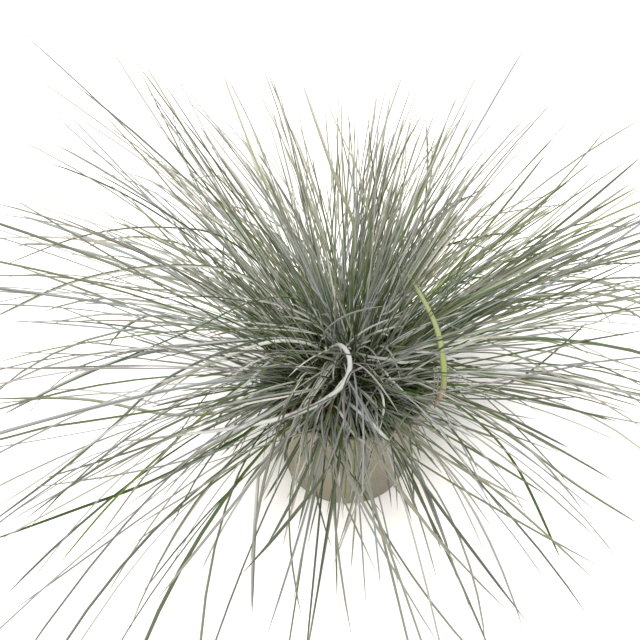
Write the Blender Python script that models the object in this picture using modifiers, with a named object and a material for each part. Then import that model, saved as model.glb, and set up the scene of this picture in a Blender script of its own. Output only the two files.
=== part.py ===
"""A potted clump of blue fescue: nursery pot, soil, crown of old leaf bases, and tufts of thread-like leaves.

All lengths are in metres, +Z is up, and the origin is the centre of the pot's flat underside.
"""

from math import acos, atan2, cos, exp, pi, radians, sin, sqrt

import bmesh
import bpy
from mathutils import Matrix, Vector

ROUND_STEPS = 32

# The pot
POT_RIM_RADIUS = 0.060
POT_BASE_RADIUS = 0.047
POT_HEIGHT = 0.085
POT_WALL = 0.0016
FLOOR_BEVEL = 0.0032
RIM_BAND_HEIGHT = 0.013
RIM_BAND_STEP = 0.0012
FOOT_ROUNDING = 0.003
DRAIN_HOLES = 8
DRAIN_HOLE_RADIUS = 0.004
DRAIN_CIRCLE_RADIUS = 0.034

# What fills the pot; touching pieces keep this gap
GAP = 0.0003
SOIL_BELOW_RIM = 0.012
CROWN_SPHERE_RADIUS = 0.050
CROWN_TOP = 0.105

# The shoots stand on the crown like seeds on a sunflower head, and lean further the nearer they are to its edge
TUFT_SITES = 50
OUTER_LEAN = radians(58)
GOLDEN_ANGLE = pi * (3 - sqrt(5))
SHEATH_SIDES = 5
SHEATH_LENGTH = 0.015
SHEATH_RADIUS = 0.0042

# Their leaves splay a little more outside the sheath, then droop by so much for each metre of their length
OUTER_SPLAY = radians(20)
SPLAY_LENGTH = 0.03
INNER_DROOP, OUTER_DROOP = radians(25), radians(110)
SHORTEST_INNER, LONGEST_INNER = 0.09, 0.16
SHORTEST_OUTER, LONGEST_OUTER = 0.135, 0.222
LONGER_SIDEWAYS = 0.15
LEAF_WIDTH_IN_SHEATH = 0.6
TUFT_FAN = 1.6
UPRIGHT_LEAN = radians(36)
UPRIGHT_LEAF_STEPS, ARCHING_LEAF_STEPS = 4, 5

# Two leaves stand on their own, each on a site of the crown: (site, greatest radius, points along its way)
SINGLE_LEAF_CLEARANCE = 0.0036
CURLED_LEAF = (
    4,
    0.0014,
    [
        (-0.012, -0.020, 0.120),
        (-0.006, -0.042, 0.145),
        (0.000, -0.064, 0.159),
        (-0.001, -0.082, 0.157),
        (-0.010, -0.095, 0.151),
        (-0.030, -0.101, 0.147),
        (-0.060, -0.101, 0.138),
        (-0.100, -0.098, 0.126),
        (-0.145, -0.098, 0.105),
        (-0.180, -0.106, 0.078),
    ],
)
BENT_LEAF = (
    8,
    0.0015,
    [
        (0.028, 0.014, 0.135),
        (0.030, 0.012, 0.158),
        (0.034, 0.002, 0.163),
        (0.040, -0.014, 0.160),
        (0.048, -0.032, 0.150),
        (0.0515, -0.046, 0.138),
        (0.0515, -0.057, 0.126),
        (0.047, -0.063, 0.116),
    ],
)

BLUE_GREY = (0.205, 0.245, 0.205)
FRESH_GREEN = (0.130, 0.190, 0.075)
SILVER = (0.420, 0.450, 0.420)
YELLOW_GREEN = (0.330, 0.380, 0.130)
TAUPE = (0.250, 0.222, 0.165)
PEAT = (0.030, 0.018, 0.012)
STRAW = (0.115, 0.085, 0.045)


def collection(name):
    group = bpy.data.collections.new(name)
    bpy.context.scene.collection.children.link(group)
    return group


def material(name, colour, roughness):
    finish = bpy.data.materials.new(name)
    finish.use_nodes = True
    shader = finish.node_tree.nodes["Principled BSDF"]
    shader.inputs["Base Color"].default_value = (*colour, 1)
    shader.inputs["Roughness"].default_value = roughness
    shader.inputs["Metallic"].default_value = 0
    return finish


def place(name, data, group, finish=None):
    thing = bpy.data.objects.new(name, data)
    group.objects.link(thing)
    if finish:
        data.materials.append(finish)
    return thing


def turned(name, profile, steps, group, finish):
    """A solid of revolution about Z. The profile is (radius, height) and runs down its outer side."""
    mesh = bpy.data.meshes.new(name)
    edges = [(i, i + 1) for i in range(len(profile) - 1)]
    mesh.from_pydata([(radius, 0, height) for radius, height in profile], edges, [])
    thing = place(name, mesh, group, finish)
    screw = thing.modifiers.new("turn", "SCREW")
    screw.steps = screw.render_steps = steps
    screw.use_smooth_shade = True
    screw.use_merge_vertices = True
    screw.merge_threshold = 0.0001
    return thing


# Pot


def body_radius(height):
    """Outer radius of the tapered wall below the rim band."""
    slope = (POT_RIM_RADIUS - RIM_BAND_STEP - POT_BASE_RADIUS) / POT_HEIGHT
    return POT_BASE_RADIUS + slope * height


def inner_radius(height):
    return body_radius(height) - POT_WALL


def pot_profile():
    lip = POT_WALL / 2
    band_foot = POT_HEIGHT - RIM_BAND_HEIGHT
    inside = [
        (0, POT_WALL),
        (inner_radius(POT_WALL) - FLOOR_BEVEL, POT_WALL),
        (inner_radius(POT_WALL + FLOOR_BEVEL), POT_WALL + FLOOR_BEVEL),
        (inner_radius(POT_HEIGHT), POT_HEIGHT - lip),
        (inner_radius(POT_HEIGHT) + lip, POT_HEIGHT),
    ]
    band = [
        (POT_RIM_RADIUS - lip, POT_HEIGHT),
        (POT_RIM_RADIUS, POT_HEIGHT - lip),
        (body_radius(band_foot) + RIM_BAND_STEP, band_foot),
        (body_radius(band_foot - RIM_BAND_STEP), band_foot - RIM_BAND_STEP),
    ]
    turns = [radians(angle) for angle in (0, 45, 90)]
    foot_centre = body_radius(FOOT_ROUNDING) - FOOT_ROUNDING
    foot = [(foot_centre + FOOT_ROUNDING * cos(a), FOOT_ROUNDING * (1 - sin(a))) for a in turns]
    return inside + band + foot + [(0, 0)]


def make_pot(group, cutters):
    pot = turned("pot", pot_profile(), ROUND_STEPS, group, material("pot plastic", TAUPE, 0.45))
    for number in range(DRAIN_HOLES):
        angle = 2 * pi * (number + 0.5) / DRAIN_HOLES
        mesh = bpy.data.meshes.new("drain_hole")
        drill = bmesh.new()
        bmesh.ops.create_cone(
            drill,
            cap_ends=True,
            segments=8,
            radius1=DRAIN_HOLE_RADIUS,
            radius2=DRAIN_HOLE_RADIUS,
            depth=4 * POT_WALL,
        )
        drill.to_mesh(mesh)
        drill.free()
        cutter = place(f"drain_hole_{number + 1}", mesh, cutters)
        cutter.location = (DRAIN_CIRCLE_RADIUS * cos(angle), DRAIN_CIRCLE_RADIUS * sin(angle), 0)
        cutter.display_type = "WIRE"
        cutter.hide_render = True
        cut = pot.modifiers.new("drain hole", "BOOLEAN")
        cut.operation = "DIFFERENCE"
        cut.object = cutter


# Soil and crown


def make_soil(group):
    top = POT_HEIGHT - SOIL_BELOW_RIM
    bottom = POT_WALL + GAP
    slump = 0.0015
    profile = [
        (0, top),
        (inner_radius(top) - 0.008, top),
        (inner_radius(top) - GAP, top - slump),
        (inner_radius(bottom + FLOOR_BEVEL) - GAP, bottom + FLOOR_BEVEL),
        (inner_radius(bottom) - GAP - FLOOR_BEVEL, bottom),
        (0, bottom),
    ]
    turned("potting_soil", profile, ROUND_STEPS, group, material("peat", PEAT, 0.95))


def crown_centre():
    return Vector((0, 0, CROWN_TOP - CROWN_SPHERE_RADIUS))


def make_crown(group):
    foot = POT_HEIGHT - SOIL_BELOW_RIM + GAP
    edge = acos((foot - crown_centre().z) / CROWN_SPHERE_RADIUS)
    rings = 6
    turns = [edge * ring / rings for ring in range(rings + 1)]
    profile = [(CROWN_SPHERE_RADIUS * sin(a), crown_centre().z + CROWN_SPHERE_RADIUS * cos(a)) for a in turns]
    turned("root_crown", profile + [(0, foot)], 24, group, material("old leaf bases", STRAW, 0.9))


# Leaves


def site_normal(site):
    """Outward direction of the crown where this shoot stands: equal areas, a golden angle apart."""
    lean = OUTER_LEAN * sqrt((site + 0.5) / TUFT_SITES)
    azimuth = site * GOLDEN_ANGLE
    return Vector((sin(lean) * cos(azimuth), sin(lean) * sin(azimuth), cos(lean)))


def leaf_direction(start, travelled):
    """Which way a leaf runs, this far from its sheath, if it left the sheath along start.

    Every leaf follows one smooth field, so that leaves spread and never cross: those nearer the edge splay
    and droop more, and the whole field sways a little to one side and the other round the clump.
    """
    lean = acos(start.z)
    share = lean / OUTER_LEAN
    azimuth = atan2(start.y, start.x)
    uneven = 1 + 0.25 * sin(2 * azimuth + 0.7)
    splay = OUTER_SPLAY * share**2 * (1 - exp(-travelled / SPLAY_LENGTH))
    droop = (INNER_DROOP + (OUTER_DROOP - INNER_DROOP) * share**2) * uneven * travelled
    sway = (0.5 * sin(3 * azimuth + 1) + 0.15 * sin(7 * azimuth + 2)) * share * travelled
    lean += splay + droop
    azimuth += sway
    return Vector((sin(lean) * cos(azimuth), sin(lean) * sin(azimuth), cos(lean)))


def leaf_path(foot, start, length, steps):
    """Points along a leaf, a little closer together near its foot."""
    marks = [length * (step / steps) ** 1.2 for step in range(steps + 1)]
    points = [foot]
    for before, after in zip(marks, marks[1:]):
        points.append(points[-1] + leaf_direction(start, (before + after) / 2) * (after - before))
    return points


def clear_length(foot, start, length, obstacles):
    """How far a leaf can grow before it meets one of the single leaves."""
    step = 0.004
    points = leaf_path(foot, start, length, int(length / step))
    travelled = 0
    for before, after in zip(points, points[1:]):
        travelled += (after - before).length
        if any((after - point).length < SINGLE_LEAF_CLEARANCE for point in obstacles):
            return travelled - 3 * step
    return length


def leaf_length(start, number):
    """Leaves of a tuft are unequal: their lengths step through the range by the golden ratio.

    The outer ones are longer to the left and right than to the front and back.
    """
    share = acos(start.z) / OUTER_LEAN
    shortest = SHORTEST_INNER + (SHORTEST_OUTER - SHORTEST_INNER) * share
    longest = LONGEST_INNER + (LONGEST_OUTER - LONGEST_INNER) * share
    sideways = 1 + LONGER_SIDEWAYS * cos(2 * atan2(start.y, start.x)) * min(share, 1)
    return (shortest + (longest - shortest) * (number * (sqrt(5) - 1) / 2 % 1)) * sideways


def grow_leaf(cage, face, path):
    """Draws a three-sided leaf out of a face along a path, ever thinner, to a point."""
    bmesh.ops.inset_individual(cage, faces=[face], thickness=SHEATH_RADIUS / 10)
    centre = face.calc_center_median()
    heading = (path[1] - path[0]).normalized()
    offsets = [(corner.co - centre) * LEAF_WIDTH_IN_SHEATH for corner in face.verts]
    for corner, offset in zip(face.verts, offsets):
        corner.co = path[0] + offset
    for step in range(1, len(path)):
        face = bmesh.ops.extrude_discrete_faces(cage, faces=[face])["faces"][0]
        onward = (path[min(step + 1, len(path) - 1)] - path[step - 1]).normalized()
        turn = heading.rotation_difference(onward)
        heading = onward
        offsets = [turn @ offset for offset in offsets]
        thickness = 1 - 0.7 * step / len(path)
        for corner, offset in zip(face.verts, offsets):
            corner.co = path[step] + offset * thickness
    bmesh.ops.pointmerge(cage, verts=face.verts[:], merge_co=path[-1])


def make_tuft(number, site, obstacles, group, finish):
    """A short sheath standing on the crown, with its leaves grown out of its upper end."""
    normal = site_normal(site)
    foot = crown_centre() + normal * (CROWN_SPHERE_RADIUS + GAP)
    stand = Matrix.Translation(foot) @ normal.to_track_quat("Z", "X").to_matrix().to_4x4()
    cage = bmesh.new()
    bmesh.ops.create_cone(
        cage,
        cap_ends=True,
        cap_tris=True,
        segments=SHEATH_SIDES,
        radius1=SHEATH_RADIUS,
        radius2=SHEATH_RADIUS,
        depth=SHEATH_LENGTH,
        matrix=stand @ Matrix.Translation((0, 0, SHEATH_LENGTH / 2)),
    )
    mouth = foot + normal * SHEATH_LENGTH
    upper = [face for face in cage.faces if (face.calc_center_median() - mouth).dot(normal) > -GAP]
    for leaf, face in enumerate(upper):
        centre = face.calc_center_median()
        start = (normal + (centre - mouth) * TUFT_FAN / CROWN_SPHERE_RADIUS).normalized()
        length = leaf_length(start, SHEATH_SIDES * site + leaf)
        length = clear_length(centre, start, length, obstacles)
        steps = UPRIGHT_LEAF_STEPS if acos(start.z) < UPRIGHT_LEAN else ARCHING_LEAF_STEPS
        grow_leaf(cage, face, leaf_path(centre, start, length, steps))
    cage.transform(stand.inverted())
    mesh = bpy.data.meshes.new(f"leaf_tuft_{number:02d}")
    cage.to_mesh(mesh)
    cage.free()
    tuft = place(mesh.name, mesh, group, finish)
    tuft.matrix_world = stand


def smooth_route(points, per_span):
    """A Catmull-Rom curve through the points."""
    padded = [2 * points[0] - points[1], *points, 2 * points[-1] - points[-2]]
    route = []
    for a, b, c, d in zip(padded, padded[1:], padded[2:], padded[3:]):
        for part in range(per_span):
            t = part / per_span
            bend = (2 * a - 5 * b + 4 * c - d) * t**2 + (3 * b - a - 3 * c + d) * t**3
            route.append(b + ((c - a) * t + bend) / 2)
    return route + [points[-1]]


def single_leaf_route(site, waypoints, per_span):
    normal = site_normal(site)
    foot = crown_centre() + normal * (CROWN_SPHERE_RADIUS + 3 * GAP)
    straight = [foot, foot + normal * SHEATH_LENGTH / 2]
    return smooth_route(straight + [Vector(point) for point in waypoints], per_span)


def make_single_leaf(name, leaf, group, finish):
    site, radius, waypoints = leaf
    route = single_leaf_route(site, waypoints, 2)
    curve = bpy.data.curves.new(name, "CURVE")
    curve.dimensions = "3D"
    curve.bevel_depth = radius
    curve.bevel_resolution = 0
    curve.use_fill_caps = True
    spline = curve.splines.new("POLY")
    spline.points.add(len(route) - 1)
    for step, (point, place_on_route) in enumerate(zip(spline.points, route)):
        share = step / (len(route) - 1)
        point.co = (*place_on_route, 1)
        point.radius = min(0.6 + 2 * share, 1, 0.15 + 2.5 * (1 - share))
    place(name, curve, group, finish)


def main():
    for thing in list(bpy.data.objects):
        bpy.data.objects.remove(thing, do_unlink=True)
    clump = collection("potted_blue_fescue_clump")
    cutters = collection("cutters")
    make_pot(clump, cutters)
    make_soil(clump)
    make_crown(clump)

    singles = {"curled_silver_leaf": CURLED_LEAF, "bent_green_leaf": BENT_LEAF}
    finishes = {
        "curled_silver_leaf": material("silver leaf", SILVER, 0.5),
        "bent_green_leaf": material("yellow-green leaf", YELLOW_GREEN, 0.5),
    }
    for name, leaf in singles.items():
        make_single_leaf(name, leaf, clump, finishes[name])
    obstacles = [point for site, _, way in singles.values() for point in single_leaf_route(site, way, 8)]

    shades = [material("blue-grey leaf", BLUE_GREY, 0.6), material("fresh green leaf", FRESH_GREEN, 0.55)]
    taken = [site for site, _, _ in singles.values()]
    free_sites = [site for site in range(TUFT_SITES) if site not in taken]
    for number, site in enumerate(free_sites, start=1):
        make_tuft(number, site, obstacles, clump, shades[number % 4 == 0])


main()
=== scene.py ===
"""A potted clump of blue fescue: its fine leaves and its finishes, with the light and the camera.

Lengths are in metres, +Z is up, and the pot stands with its flat underside at the origin.
"""

import bmesh
import bpy
import numpy as np
from mathutils import Euler, Matrix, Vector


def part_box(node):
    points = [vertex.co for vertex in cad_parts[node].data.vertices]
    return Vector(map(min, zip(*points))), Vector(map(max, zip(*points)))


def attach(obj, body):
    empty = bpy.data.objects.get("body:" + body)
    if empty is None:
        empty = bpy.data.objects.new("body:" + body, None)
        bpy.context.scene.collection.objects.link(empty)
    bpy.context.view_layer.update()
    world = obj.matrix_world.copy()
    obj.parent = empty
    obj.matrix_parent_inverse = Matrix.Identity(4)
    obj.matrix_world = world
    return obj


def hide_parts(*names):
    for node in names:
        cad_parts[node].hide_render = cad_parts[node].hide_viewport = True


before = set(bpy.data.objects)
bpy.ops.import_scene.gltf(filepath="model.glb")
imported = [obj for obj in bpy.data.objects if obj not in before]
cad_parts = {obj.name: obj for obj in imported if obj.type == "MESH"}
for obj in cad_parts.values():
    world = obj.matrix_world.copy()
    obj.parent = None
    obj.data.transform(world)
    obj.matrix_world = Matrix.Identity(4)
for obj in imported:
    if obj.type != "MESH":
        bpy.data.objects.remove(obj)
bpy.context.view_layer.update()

# Camera: it looks down over the front of the clump, from a little above its longest leaves. From level and
# straight ahead, the view dips by PITCH, swings right by YAW, and tips over by ROLL.

PICTURE_SIDE = 640  # pixels
FOCAL_LENGTH = 500  # pixels
SENSOR = 36  # millimetres
EYE = (-0.005, -0.258, 0.318)
PITCH, YAW, ROLL = np.radians((36.2, -2.9, -1.0))
NEAREST = 0.005  # anything closer to the eye isn't drawn


def placed(name, data):
    """A new object in the scene, made of a camera, a mesh or a lamp."""
    thing = bpy.data.objects.new(name, data)
    bpy.context.scene.collection.objects.link(thing)
    return thing


camera = placed("camera", bpy.data.cameras.new("camera"))
camera.data.sensor_width = SENSOR
camera.data.lens = FOCAL_LENGTH / PICTURE_SIDE * SENSOR
camera.data.clip_start = NEAREST
dipped = Matrix.Rotation(-YAW, 4, "Z") @ Matrix.Rotation(np.pi / 2 - PITCH, 4, "X")
camera.matrix_world = Matrix.Translation(EYE) @ dipped @ Matrix.Rotation(ROLL, 4, "Z")
bpy.context.scene.camera = camera

# Pot: a thin round nursery pot, injection moulded in taupe plastic, with a raised band under its rim
# and eight drain holes in its floor. It has stood in a nursery, so it is a little dusty and scuffed.

POT_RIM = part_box("pot")[1]
RIM_RADIUS, POT_HEIGHT = POT_RIM.x, POT_RIM.z
BASE_RADIUS = 0.047
WALL = 0.0016
FLOOR_BEVEL = 0.0032
BAND_HEIGHT, BAND_STEP = 0.013, 0.0012
BAND_TAPER, BAND_UNDERSIDE, SIDE_BELOW_BAND = 0.0001, 0.0004, 1.4
FOOT_ROUNDING = 0.003
INNER_SIDE_FROM, OUTER_SIDE_TO = 0.015, 0.005  # heights of the lowest rings of the straight sides
FLOOR_RING = 0.02
DRAIN_HOLES, DRAIN_HOLE_RADIUS, DRAIN_CIRCLE = 8, 0.004, 0.034
POT_STEPS, SIDE_RINGS, DRILL_SIDES = 144, 8, 32
TAUPE, TAUPE_DARK, DUST = (0.215, 0.192, 0.132), (0.168, 0.147, 0.096), (0.34, 0.305, 0.23)
SHARP = 35  # degrees


def show(name, points, faces, finish, sharp_over=SHARP):
    """Puts a surface into the scene as one object at the origin. It is smooth, but for edges that turn by
    more than sharp_over degrees."""
    mesh = bpy.data.meshes.new(name)
    mesh.from_pydata(np.asarray(points).tolist(), [], faces)
    mesh.materials.append(finish)
    mesh.shade_smooth()
    mesh.set_sharp_from_angle(angle=np.radians(sharp_over))
    return placed(name, mesh)


def turned(profile, steps):
    """Points and faces of a profile (radius, height) turned about Z: point (i, j) is profile i at angle j /
    steps of a turn. The profile starts and ends in a pole on the axis, and runs down its outer side."""
    profile = np.asarray(profile)
    angle = 2 * np.pi * np.arange(steps) / steps
    radius, height = profile[1:-1, :1], profile[1:-1, 1:]
    ring = np.stack((radius * np.cos(angle), radius * np.sin(angle), height + 0 * angle), axis=-1)
    points = np.concatenate((((0, 0, profile[0, 1]),), ring.reshape(-1, 3), ((0, 0, profile[-1, 1]),)))
    index = 1 + np.arange(ring.shape[0] * steps).reshape(-1, steps)
    onward = np.roll(index, -1, axis=1)
    sides = np.stack((index[:-1], index[1:], onward[1:], onward[:-1]), axis=-1).reshape(-1, 4)
    start = np.stack((0 * index[0], index[0], onward[0]), axis=-1)
    end = np.stack((onward[-1], index[-1], 0 * index[-1] + len(points) - 1), axis=-1)
    return points, sides.tolist() + start.tolist() + end.tolist()


def arc(centre, radius, start, end, steps):
    """Profile points on part of a circle, from one angle to another in degrees."""
    angle = np.radians(np.linspace(start, end, steps))
    return [(centre[0] + radius * np.cos(a), centre[1] + radius * np.sin(a)) for a in angle]


def outer_radius(height):
    """The outer wall widens evenly, from its base to the rim less the band's step."""
    return BASE_RADIUS + (RIM_RADIUS - BAND_STEP - BASE_RADIUS) * height / POT_HEIGHT


def inner_radius(height):
    """The inner wall runs beside the outer one."""
    return outer_radius(height) - WALL


class Nodes:
    """A material under construction: each call adds one shader node and gives back its output. An input is
    a number, a colour or another node's output. Patterns in space have their scale in cells a metre."""

    def __init__(self, name):
        self.finish = bpy.data.materials.new(name)
        self.finish.use_nodes = True
        self.tree = self.finish.node_tree
        self.shader = self.tree.nodes["Principled BSDF"]

    def feed(self, socket, value):
        if isinstance(value, bpy.types.NodeSocket):
            self.tree.links.new(value, socket)
        elif isinstance(value, tuple) and len(value) == 3 and socket.type == "RGBA":
            socket.default_value = (*value, 1)
        else:
            socket.default_value = value

    def add(self, kind, inputs=(), output=0, **settings):
        node = self.tree.nodes.new("ShaderNode" + kind)
        for name, value in settings.items():
            setattr(node, name, value)
        for name, value in dict(inputs).items():
            self.feed(node.inputs[name], value)
        return node.outputs[output]

    def place(self):
        return self.add("TexCoord", output="Object")

    def noise(self, where, scale, detail=3.0, roughness=0.55):
        sockets = {"Vector": where, "Scale": scale, "Detail": detail, "Roughness": roughness}
        return self.add("TexNoise", sockets)

    def stretch(self, where, scale):
        return self.add("Mapping", {"Vector": where, "Scale": scale})

    def ramp(self, value, low, high, to_low=0.0, to_high=1.0):
        """A smooth step: to_low where value is under low, to_high where it is over high."""
        sockets = {"Value": value, "From Min": low, "From Max": high, "To Min": to_low, "To Max": to_high}
        return self.add("MapRange", sockets, interpolation_type="SMOOTHSTEP")

    def sums(self, operation, a, b=0.0, c=0.0):
        return self.add("Math", {0: a, 1: b, 2: c}, operation=operation)

    def mix(self, share, first, second):
        """A colour between first, where share is 0, and second, where it is 1."""
        node = self.tree.nodes.new("ShaderNodeMix")
        node.data_type = "RGBA"
        self.feed(node.inputs["Factor"], share)
        colours = [socket for socket in node.inputs if socket.type == "RGBA"]
        self.feed(colours[0], first)
        self.feed(colours[1], second)
        return next(socket for socket in node.outputs if socket.type == "RGBA")

    def surface(self, colour, roughness, specular=0.5, relief=None, depth=0.0, strength=1.0):
        """Ends the material with its colour, roughness, shine and, where there is one, its relief."""
        looks = {"Base Color": colour, "Roughness": roughness, "Specular IOR Level": specular}
        if relief is not None:
            looks["Normal"] = self.add("Bump", {"Height": relief, "Distance": depth, "Strength": strength})
        for name, value in looks.items():
            self.feed(self.shader.inputs[name], value)
        return self.finish


def pot_plastic():
    """Taupe plastic, cloudy in tone, with darker streaks up and down it, dusty scuffs round the body and a
    fine moulded grain."""
    made = Nodes("pot plastic")
    place = made.place()
    cloud = made.noise(place, 28.0, 4.0)
    scuffs = made.noise(made.stretch(place, (1.0, 1.0, 9.0)), 90.0, 5.0, 0.7)
    streaks = made.noise(made.stretch(place, (1.0, 1.0, 0.12)), 220.0, 2.0)
    colour = made.mix(made.ramp(cloud, 0.35, 0.68), TAUPE, TAUPE_DARK)
    colour = made.mix(made.ramp(streaks, 0.5, 0.75, 0.0, 0.25), colour, TAUPE_DARK)
    colour = made.mix(made.ramp(scuffs, 0.6, 0.78, 0.0, 0.45), colour, DUST)
    roughness = made.ramp(scuffs, 0.3, 0.7, 0.38, 0.6)
    grain = made.noise(place, 1400.0, 2.0)
    return made.surface(colour, roughness, relief=grain, depth=0.00006, strength=0.5)


band_foot = POT_HEIGHT - BAND_HEIGHT
side_top = band_foot - SIDE_BELOW_BAND * BAND_STEP
lip = WALL / 2
lip_foot = POT_HEIGHT - lip
foot_centre = outer_radius(FOOT_ROUNDING) - FOOT_ROUNDING
pot_profile = (
    [(0, WALL), (FLOOR_RING, WALL), (inner_radius(WALL) - FLOOR_BEVEL, WALL)]
    + [(inner_radius(WALL + FLOOR_BEVEL), WALL + FLOOR_BEVEL)]
    + [(inner_radius(height), height) for height in np.linspace(INNER_SIDE_FROM, lip_foot, SIDE_RINGS)]
    + arc((inner_radius(POT_HEIGHT) + lip, lip_foot), lip, 150, 90, 4)
    + arc((RIM_RADIUS - lip, lip_foot), lip, 90, 0, 5)
    + [(RIM_RADIUS - BAND_TAPER, POT_HEIGHT - BAND_HEIGHT / 2)]
    + [(outer_radius(band_foot) + BAND_STEP, band_foot)]
    + arc((outer_radius(band_foot) + BAND_STEP / 2, band_foot - BAND_UNDERSIDE), BAND_STEP / 2, 0, -80, 4)
    + [(outer_radius(height), height) for height in np.linspace(side_top, OUTER_SIDE_TO, SIDE_RINGS)]
    + arc((foot_centre, FOOT_ROUNDING), FOOT_ROUNDING, -5, -90, 6)
    + [(FLOOR_RING, 0), (0, 0)]
)
pot = show("nursery_pot", *turned(pot_profile, POT_STEPS), pot_plastic())

drills = bmesh.new()
for hole in range(DRAIN_HOLES):
    turn = 2 * np.pi * (hole + 0.5) / DRAIN_HOLES
    spot = Matrix.Translation((DRAIN_CIRCLE * np.cos(turn), DRAIN_CIRCLE * np.sin(turn), 0))
    sizes = {"radius1": DRAIN_HOLE_RADIUS, "radius2": DRAIN_HOLE_RADIUS, "depth": 4 * WALL}
    bmesh.ops.create_cone(drills, cap_ends=True, segments=DRILL_SIDES, matrix=spot, **sizes)
drill_mesh = bpy.data.meshes.new("drills")
drills.to_mesh(drill_mesh)
drills.free()
drill = placed("drills", drill_mesh)
cut = pot.modifiers.new("drain holes", "BOOLEAN")
cut.operation = "DIFFERENCE"
cut.object = drill
drilled = bpy.data.meshes.new_from_object(pot.evaluated_get(bpy.context.evaluated_depsgraph_get()))
pot.modifiers.clear()
pot.data = drilled
drilled.set_sharp_from_angle(angle=np.radians(SHARP))
bpy.data.objects.remove(drill)
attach(pot, "root")
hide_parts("pot")

# Potting soil: dark damp peat mix, filled in loose to about a centimetre under the rim. Its surface is
# crumbly, and slumps a little at the wall.

SOIL_FOOT, SOIL_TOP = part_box("potting_soil")
SLUMP, SLUMP_FROM = 0.0015, 0.7  # depth at the wall, and the share of the radius where it starts
SOIL_GAP = 0.0003
CRUMB_HEIGHT, CRUMB_DIP = 0.0011, 0.8  # the dip keeps most crumbs under the solid's top
LUMP, CRUMB = 0.009, 0.0032
SOIL_RINGS, SOIL_STEPS, RING_CROWDING = 64, 220, 0.8  # the rings lie closer together towards the wall
PEAT, PEAT_DRY, PEAT_RED = (0.022, 0.013, 0.009), (0.06, 0.038, 0.024), (0.09, 0.012, 0.01)


def crumbs(x, y, grain, seed, waves=14, contrast=3):
    """A lumpy height: the mean of plane waves in random directions, whose lengths are about grain, times a
    contrast and cut off at -1 and 1."""
    rng = np.random.default_rng(seed)
    directions = rng.uniform(0, np.pi, waves)
    lengths = grain * rng.uniform(0.6, 1.7, waves)
    phases = rng.uniform(0, 2 * np.pi, waves)
    total = 0
    for direction, length, phase in zip(directions, lengths, phases):
        total = total + np.cos(2 * np.pi * (x * np.cos(direction) + y * np.sin(direction)) / length + phase)
    return np.clip(total / waves * contrast, -1, 1)


def peat():
    """Dark moist peat with drier lumps, patches stained red-brown by bark, and fibres in its relief."""
    made = Nodes("peat")
    place = made.place()
    lumps = made.noise(place, 260.0, 5.0, 0.65)
    fibres = made.noise(made.stretch(place, (1.0, 3.5, 1.0)), 700.0, 3.0)
    colour = made.mix(made.ramp(lumps, 0.4, 0.75), PEAT, PEAT_DRY)
    colour = made.mix(made.ramp(made.noise(place, 120.0, 1.0), 0.62, 0.7, 0.0, 0.7), colour, PEAT_RED)
    return made.surface(colour, 0.9, 0.15, relief=fibres, depth=0.0006, strength=0.8)


soil_reach = inner_radius(SOIL_TOP.z) - SOIL_GAP
soil_radii = soil_reach * (np.arange(SOIL_RINGS + 1) / SOIL_RINGS) ** RING_CROWDING
soil_profile = [(radius, SOIL_TOP.z) for radius in soil_radii]
foot_reach = inner_radius(SOIL_FOOT.z + FLOOR_BEVEL) - SOIL_GAP
soil_profile += [(foot_reach, SOIL_FOOT.z + FLOOR_BEVEL), (foot_reach - FLOOR_BEVEL, SOIL_FOOT.z)]
soil_points, soil_faces = turned(soil_profile + [(0, SOIL_FOOT.z)], SOIL_STEPS)
across, deep = soil_points[:, 0], soil_points[:, 1]
from_axis = np.hypot(across, deep)
on_top = soil_points[:, 2] > SOIL_TOP.z - SLUMP
lumps = crumbs(across, deep, LUMP, 1) + 0.5 * crumbs(across, deep, CRUMB, 2)
slope = SLUMP * np.clip((from_axis / soil_reach - SLUMP_FROM) / (1 - SLUMP_FROM), 0, 1) ** 2
soil_points[:, 2] += on_top * (CRUMB_HEIGHT * (lumps - CRUMB_DIP) - slope)
soil = show("peat_surface", soil_points, soil_faces, peat(), sharp_over=180)
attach(soil, "root")
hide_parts("potting_soil")

# Bark bits: flakes of brown and red-brown bark in the peat mix, lying on the soil, and on the peat that
# clings to the foot of the crown. Each is a small block with its corners pulled about.

BARK_BITS = 700
CROWN_RADIUS, CROWN_MIDDLE = 0.050, 0.055  # the crown is a ball of this radius around this height
BARK_SIZES, BARK_SHAPE = (0.0016, 0.0055), np.array((1, 0.55, 0.22))  # lengths, and shares of them each way
BARK_FROM, BARK_TO = 0.036, soil_reach - 0.002
BARK_UNEVENNESS, CORNER_UNEVENNESS, BARK_TILT = (0.7, 1.2), (0.7, 1.25), 0.35
BARK_SINKS, BARK_SETTLES = 0.001, (-0.0008, 0.0012)  # into the crown's mat, and up or down from the ground
RED_PATCH, RED_PATCH_EDGE = np.radians(-125), 0.85  # the red bits lie within this cosine of this side
RED_LARGER, PALE_SHARE, RED_TONES, BROWN_TONES = 0.9, 0.1, (0.3, 0.7), (0, 0.3)
BARK_BROWN, BARK_RED, BARK_PALE = (0.05, 0.022, 0.014), (0.26, 0.015, 0.03), (0.2, 0.13, 0.07)


def remember(mesh, name, values):
    """Keeps one value or vector for each point of a mesh, for its material to read."""
    values = np.asarray(values, np.float32)
    kind, field = ("FLOAT", "value") if values.ndim == 1 else ("FLOAT_VECTOR", "vector")
    mesh.attributes.new(name, kind, "POINT").data.foreach_set(field, values.ravel())


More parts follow.
